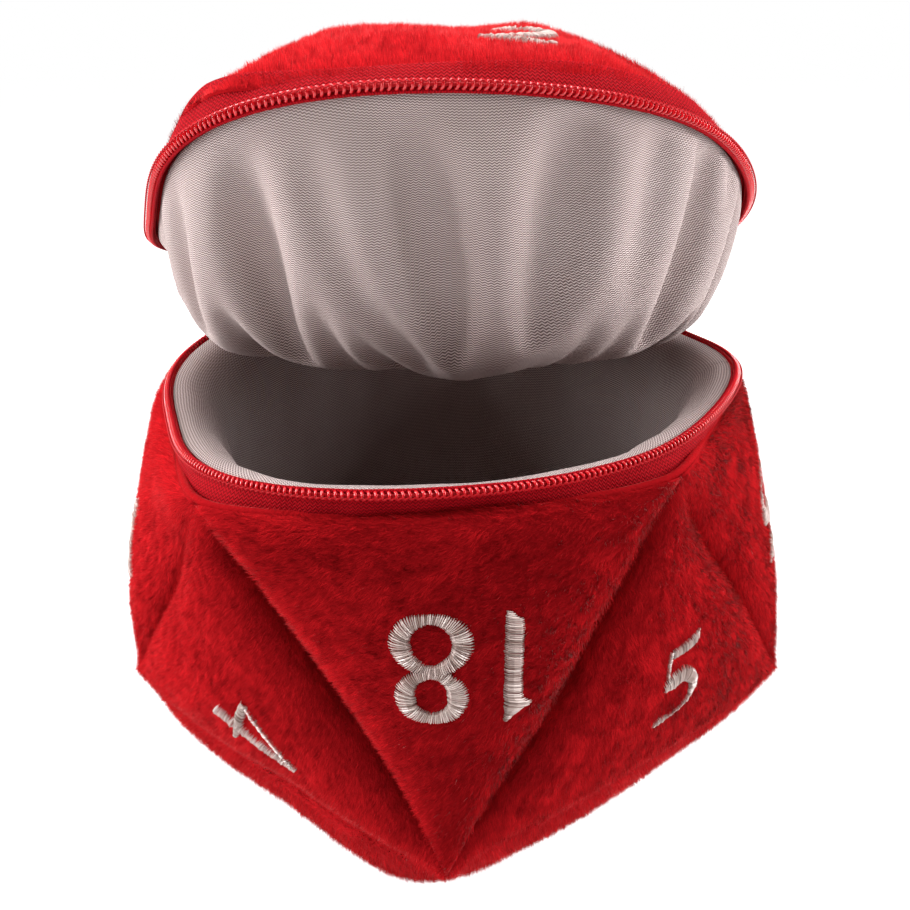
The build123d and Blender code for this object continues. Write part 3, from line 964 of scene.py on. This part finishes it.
def build_tape(name, side, kind, place, body, node):
    """Woven tape from behind the coil to under the plush, a little slack between its stitches."""
    degrees = np.linspace(CHAIN_START, CHAIN_END, 421)
    reach, level = plush_rim(kind, degrees)
    share = np.linspace(0, 1, 17)[:, None]
    finish = np.abs(level - ZIP_HEIGHT) + TAPE_TUCK
    slack = 0.5 + 0.5 * ring_noise(degrees, 22 * MM, 11 + side)
    pucker = 0.28 * ring_noise(degrees, 4.5 * MM, 13 + side)
    bulge = np.sin(np.pi * share) ** 1.2 * (slack + pucker) * MM
    edge = reach - 1.2 * MM
    radius = (ZIP_RADIUS - 0.1 * MM) * (1 - share) + edge * share + bulge
    drop = TAPE_START + (finish - TAPE_START) * share
    grid = place(on_ring(radius, degrees[None, :], ZIP_HEIGHT + side * drop))
    run = np.radians(degrees) * ZIP_RADIUS
    uv = np.stack(np.broadcast_arrays(run[None, :], drop), axis=-1)
    piece = band(name, grid, TAPE_THICKNESS, uv, TAPE, flip=(side < 0))
    turned_in = place(on_ring(reach - 1.1 * MM, degrees, level + side * 0.4 * MM))
    fold = join_tubes(f"{body}_rim_fold", [(tube(turned_in, RIM_FOLD_RADIUS, 8), 0)], [BACKING])
    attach(fold, body)
    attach(piece, body)
    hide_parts(node)


def tube(path, radius, sides):
    """Round wire along a path: its points and quads."""
    path = np.asarray(path)
    along = unit(np.gradient(path, axis=0))
    guide = unit(path - path.mean(axis=0) + 1e-7)
    first = unit(np.cross(along, guide))
    second = np.cross(along, first)
    turns = np.arange(sides) * 2 * np.pi / sides
    ring = first[:, None] * np.cos(turns)[None, :, None] + second[:, None] * np.sin(turns)[None, :, None]
    points = (path[:, None] + ring * radius).reshape(-1, 3)
    start = (np.arange(len(path) - 1) * sides)[:, None]
    here = np.arange(sides)[None, :]
    quads = np.stack([start + here, start + (here + 1) % sides, start + sides + (here + 1) % sides,
                      start + sides + here], axis=-1).reshape(-1, 4)
    return points, quads


def join_tubes(name, tubes, materials):
    """One piece from tubes, each with the number of its material."""
    points, quads, shades = [], [], []
    start = 0
    for (tube_points, tube_quads), shade in tubes:
        points.append(tube_points)
        quads.append(tube_quads + start)
        shades.append(np.full(len(tube_quads), shade))
        start += len(tube_points)
    return fast_mesh(name, np.concatenate(points), np.concatenate(quads), np.concatenate(shades),
                     materials, True)


def coil_path(side, start, finish, place):
    """Flattened helix: round heads at the zipper plane, long legs back to the tape."""
    turns = int(math.radians(finish - start) * ZIP_RADIUS / COIL_PITCH)
    turn = np.linspace(0, turns, turns * 14 + 1)
    degrees = start + (finish - start) * (turn - 0.09 * np.sin(4 * np.pi * turn)) / turns
    reach = COIL_SIZE / 2 - WIRE_RADIUS
    radius = ZIP_RADIUS + reach * np.cos(2 * np.pi * turn)
    height = COIL_GAP + COIL_SIZE / 2 + reach * np.sin(2 * np.pi * turn)
    return place(on_ring(radius, degrees, ZIP_HEIGHT + side * height))


def build_coil(name, side, place, body, node):
    """Nylon coil on its cord, with the two rows of stitches that hold it to the tape."""
    tubes = [(tube(coil_path(side, COIL_START, COIL_FINISH, place), WIRE_RADIUS, 7), 0)]
    degrees = np.linspace(COIL_START, COIL_FINISH, 620)
    middle = ZIP_HEIGHT + side * (COIL_GAP + COIL_SIZE / 2)
    tubes.append((tube(place(on_ring(ZIP_RADIUS, degrees, middle)), 0.34 * MM, 6), 1))
    for reach, level in ((1.05, 1.0), (-1.0, 1.2)):
        height = COIL_GAP + level * MM
        stitches = int(math.radians(COIL_FINISH - COIL_START) * ZIP_RADIUS / COIL_PITCH)
        run = np.linspace(0, stitches, stitches * 6 + 1)
        angle = COIL_START + (COIL_FINISH - COIL_START) * run / stitches
        wave = np.abs(np.sin(np.pi * run))
        path = on_ring(ZIP_RADIUS + (reach + 0.10 * wave * np.sign(reach)) * MM, angle,
                       ZIP_HEIGHT + side * (height + 0.16 * MM * np.sin(2 * np.pi * run)))
        tubes.append((tube(place(path), 0.15 * MM, 5), 1))
    piece = join_tubes(name, tubes, [COIL, CORD])
    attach(piece, body)
    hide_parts(node)


for side, kind, place, body in ((-1, "upper", slouch, "bag"), (1, "lid", open_lid, "lid")):
    build_tape(f"{body}_tape", side, kind, place, body, f"{body}_zip_tape")
    build_coil(f"{body}_coil", side, place, body, f"{body}_zip_coil")


def build_gusset():
    """Strip of tape that joins bag and lid at the back and folds on the hinge line."""
    degrees = np.linspace(CHAIN_END - 360 - GUSSET_LAP_DEGREES, CHAIN_START + GUSSET_LAP_DEGREES, 81)
    height = np.linspace(-RIM_DROP - GUSSET_OVERLAP, RIM_DROP + GUSSET_OVERLAP, 41)
    fold = smooth((height + FOLD_REACH) / (2 * FOLD_REACH))
    radius = GUSSET_RADIUS + 0.3 * MM * ring_noise(degrees, 12 * MM, 19)
    shut = on_ring(radius[None, :], degrees[None, :], ZIP_HEIGHT + height[:, None])
    opened = open_lid(shut)
    shut = slouch(shut)
    grid = shut + (opened - shut) * fold[:, None, None]
    run = np.radians(degrees) * GUSSET_RADIUS
    uv = np.stack(np.broadcast_arrays(run[None, :], height[:, None]), axis=-1)
    piece = band("hinge_gusset", grid, TAPE_THICKNESS, uv, TAPE)
    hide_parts("bag_gusset", "lid_gusset")
    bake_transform(piece)


build_gusset()


# ---- lining ----
def build_bag_lining():
    """Loose knit liner: it rolls in from the zipper, then hangs inside the padding."""
    degrees = np.linspace(0, 360, 240, endpoint=False)
    steps = 90
    radius, height = (soften(column, np.hanning(13)[1:-1]) for column in along_profile(LINING_PROFILE, steps))
    share = np.linspace(0, 1, steps)
    loose = np.sin(np.pi * np.clip(share * 1.6, 0, 1)) ** 1.3
    pleats = ring_noise(degrees, 11 * MM, 21)
    slump = ring_noise(degrees, 30 * MM, 22)
    grid = on_ring(radius[:, None], degrees[None, :], height[:, None])
    spread = loose[:, None] * (1.7 * pleats + 2.2 * slump)[None, :] * MM
    spread *= np.clip(radius / (20 * MM), 0, 1)[:, None]
    flat = grid.reshape(-1, 3)
    crease = (lumps(flat, 13 * MM, 23) * 1.1 * MM).reshape(steps, -1) * loose[:, None]
    grid = grid + unit(grid * np.array([1, 1, 0]) + 1e-9) * (spread + crease)[:, :, None]
    grid[:, :, 2] += loose[:, None] * 1.2 * MM * slump[None, :]
    run = np.concatenate([[0], np.cumsum(np.hypot(np.diff(radius), np.diff(height)))])
    around = np.radians(degrees) * ZIP_RADIUS
    uv = np.stack(np.broadcast_arrays(around[None, :], run[:, None]), axis=-1)
    piece = band("bag_liner", slouch(grid), LINING_THICKNESS, uv, LINING, closed=True)
    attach(piece, "bag")
    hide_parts("bag_lining")


def pouch_rest_grid(degrees):
    """Sewn shape of the lid's liner, a shallow bowl below the closed zipper plane."""
    radius, drop = along_profile(POUCH_PROFILE, POUCH_RINGS)
    return on_ring(radius[:, None], degrees[None, :], ZIP_HEIGHT + 1.8 * MM - drop[:, None])


def settle(grid, rest):
    """Hangs the liner by its rim: springs along rows, columns and diagonals, relaxed again and again."""
    rows, columns = grid.shape[:2]
    index = np.arange(rows * columns).reshape(rows, columns)
    wrapped = np.concatenate([index, index[:, :2]], axis=1)
    links = []
    for step, stiff in ((1, 1.0), (2, POUCH_BEND)):
        for k in range(2 * step):
            start = np.arange(k, rows - step, 2 * step)
            links.append((index[start].ravel(), index[start + step].ravel(), stiff))
        for k in range(2 * step):
            start = np.arange(k, columns - (columns % (2 * step)), 2 * step)
            links.append((wrapped[:, start].ravel(), wrapped[:, start + step].ravel(), stiff))
    for i in range(2):
        for j in range(2):
            start = np.arange(j, columns, 2)
            for above, below in ((0, 1), (1, 0)):
                first, second = wrapped[i:-1:2][:, start + above], wrapped[i + 1::2][:, start + below]
                size = min(len(first), len(second))
                links.append((first[:size].ravel(), second[:size].ravel(), POUCH_SHEAR))
    flat = rest.reshape(-1, 3)
    lengths = [np.linalg.norm(flat[a] - flat[b], axis=1) for a, b, _ in links]
    points = grid.reshape(-1, 3).copy()
    pinned = index[:2].ravel()
    held = points[pinned].copy()
    heap = 3.0 * MM * lumps(points * np.array([1, 1, 0]), 24 * MM, 33)
    floor = POUCH_FLOOR + heap - POUCH_BACK_DROP * smooth((points[:, 1] - 26 * MM) / (24 * MM))
    before = points.copy()
    for _ in range(POUCH_STEPS):
        moved = points + (points - before) * POUCH_DAMPING
        moved[:, 2] -= POUCH_GRAVITY
        before = points
        for _ in range(POUCH_RELAXATIONS):
            for (a, b, stiff), length in zip(links, lengths):
                gap = moved[b] - moved[a]
                size = np.linalg.norm(gap, axis=1)
                pull = stiff * 0.5 * (size - length) / np.maximum(size, 1e-9)
                moved[a] += gap * pull[:, None]
                moved[b] -= gap * pull[:, None]
            moved[pinned] = held
        moved[:, 2] = np.maximum(moved[:, 2], floor)
        reach = np.hypot(moved[:, 0], moved[:, 1])
        inside = smooth((POUCH_FLOOR + POUCH_TAPER / 2 - moved[:, 2]) / POUCH_TAPER)
        room = POUCH_ROOM - POUCH_NARROWING * inside
        moved[:, :2] *= np.minimum(1, room / np.maximum(reach, 1e-9))[:, None]
        points = moved
    return points.reshape(rows, columns, 3)


def finer(grid, times):
    """More rows and columns through the same points, smoothly."""
    def spread(values, count):
        at = np.linspace(0, len(values) - 1, count)
        low = np.clip(at.astype(int), 0, len(values) - 2)
        share = (at - low)[:, None, None]
        padded = np.concatenate([2 * values[:1] - values[1:2], values, 2 * values[-1:] - values[-2:-1]])
        return curve(*(padded[low + k] for k in range(4)), share)

    rows, columns = grid.shape[:2]
    grid = spread(grid, (rows - 1) * times + 1)
    ring = np.concatenate([grid[:, -3:], grid, grid[:, :4]], axis=1).transpose(1, 0, 2)
    ring = spread(ring, (len(ring) - 1) * times + 1).transpose(1, 0, 2)
    return ring[:, 3 * times:3 * times + columns * times]


def build_lid_lining():
    """Loose knit pouch of the lid: it hangs from its zipper down to the mouth."""
    columns = 144
    degrees = np.linspace(0, 360, columns, endpoint=False)
    rest = pouch_rest_grid(degrees)
    folds = lumps(rest.reshape(-1, 3), 27 * MM, 34).reshape(POUCH_RINGS, columns)
    share = np.linspace(0, 1, POUCH_RINGS)
    start = rest.copy()
    start[:, :, 2] += (np.sin(np.pi * share) * 6.0 * MM)[:, None] * folds
    grid = settle(open_lid(start), rest)
    grid = finer(grid, 2)
    pole = grid[-POLE_RINGS].mean(axis=0)
    for k in range(1, POLE_RINGS):
        grid[-k] = pole + (grid[-POLE_RINGS] - pole) * (k - 0.98) / (POLE_RINGS - 0.98)
    run = np.linspace(1, 0, len(grid))[:, None] * POUCH_CUT / 2
    around = np.linspace(0, 360, grid.shape[1], endpoint=False)
    uv = on_ring(run, around[None, :], 0.0)[:, :, :2]
    piece = band("lid_liner", grid, LINING_THICKNESS, uv, LINING, closed=True, flip=True)
    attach(piece, "lid")
    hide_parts("lid_lining")


build_bag_lining()
build_lid_lining()


# ---- slider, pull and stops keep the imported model's shapes ----
for node, surface in (("zip_slider", ENAMEL), ("pull_tab", ENAMEL),
                      ("bag_zip_stops", COIL), ("lid_zip_stops", COIL)):
    shown = bpy.data.objects[node]
    shown.data.materials.clear()
    shown.data.materials.append(surface)


# ---- floor, light and camera ----
def build_stage():
    surface, _, _ = material("floor_paper", (0.3, 0.3, 0.3), 0.9, Emission_Color=(1, 1, 1, 1),
                             Emission_Strength=FLOOR_GLOW)
    floor = make_mesh("floor", [(-3, -3, 0), (3, -3, 0), (3, 3, 0), (-3, 3, 0)], [(0, 1, 2, 3)], surface)
    world = bpy.data.worlds.new("studio")
    world.use_nodes = True
    world.node_tree.nodes["Background"].inputs["Color"].default_value = (1, 1, 1, 1)
    world.cycles_visibility.diffuse = False
    world.cycles_visibility.glossy = False
    bpy.context.scene.world = world
    for name, place, aim, size, power in LIGHTS:
        lamp = bpy.data.lights.new(name, "AREA")
        lamp.shape = "DISK"
        lamp.size = size
        lamp.energy = power
        lit = link(name, lamp)
        lit.location = place
        lit.rotation_euler = (Vector(aim) - Vector(place)).to_track_quat("-Z", "Y").to_euler()


def build_camera():
    towards = Vector((0, -math.cos(CAMERA_ELEVATION), math.sin(CAMERA_ELEVATION)))
    right = Vector((1, 0, 0))
    turned = Matrix((right, towards.cross(right), towards)).transposed().to_4x4()
    lens = bpy.data.cameras.new("camera")
    lens.lens = CAMERA_LENS
    lens.sensor_width = 36
    lens.clip_start = 0.01
    view = link("camera", lens)
    view.matrix_world = Matrix.Translation(CAMERA_TARGET + towards * CAMERA_DISTANCE) @ turned
    bpy.context.scene.camera = view


build_stage()
build_camera()
bpy.context.scene.view_settings.view_transform = "Standard"
